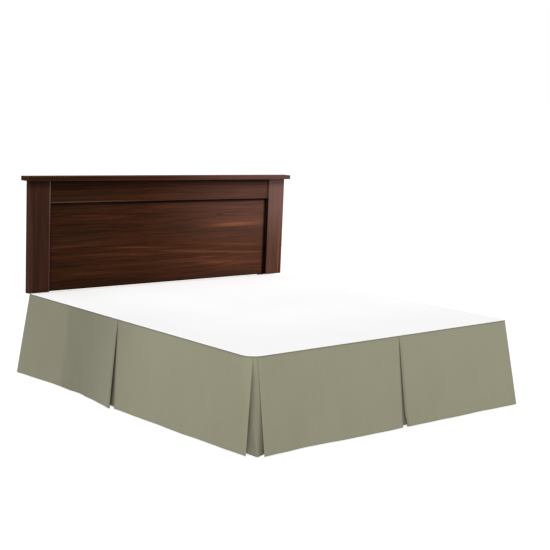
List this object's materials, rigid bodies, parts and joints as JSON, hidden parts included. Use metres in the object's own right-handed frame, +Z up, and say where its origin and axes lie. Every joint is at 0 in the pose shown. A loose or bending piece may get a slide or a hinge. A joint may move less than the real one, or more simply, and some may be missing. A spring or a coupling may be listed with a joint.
{
  "type": "bed skirt on bed",
  "caption": "Tailored bed skirt with a flat deck cloth, pleated drops and split foot corners, hanging from a plain bed base with a frame and a wooden headboard.",
  "frame": {"origin": "centre of the whole outline on the floor", "axes": "+Z up, +Y towards the headboard, +X across the bed"},
  "size_m": [2.1278, 2.236, 1.169],
  "materials": {
    "sage_cloth": "matte plain weave",
    "deck_cloth": "matte plain weave",
    "base_ticking": "matte",
    "dark_steel": "satin",
    "glide_rubber": "matte",
    "dark_wood": "satin",
    "strut_wood": "matte"
  },
  "bodies": {
    "root": {"deck": "deck_cloth", "drop_left": "sage_cloth", "drop_foot": "sage_cloth", "drop_right": "sage_cloth", "insert_left": "sage_cloth", "insert_right": "sage_cloth", "box_base": "base_ticking", "rail_left": "dark_steel", "rail_right": "dark_steel", "rail_foot": "dark_steel", "rail_head": "dark_steel", "rail_centre": "dark_steel", "leg_front_left": "dark_steel", "leg_front_right": "dark_steel", "leg_back_left": "dark_steel", "leg_back_right": "dark_steel", "leg_centre_front": "dark_steel", "leg_centre_back": "dark_steel", "foot_front_left": "glide_rubber", "foot_front_right": "glide_rubber", "foot_back_left": "glide_rubber", "foot_back_right": "glide_rubber", "foot_centre_front": "glide_rubber", "foot_centre_back": "glide_rubber", "post_left": "dark_wood", "post_right": "dark_wood", "top_rail": "dark_wood", "panel": "dark_wood", "cap": "dark_wood", "strut_left": "strut_wood", "strut_right": "strut_wood"}
  },
  "joints": []
}
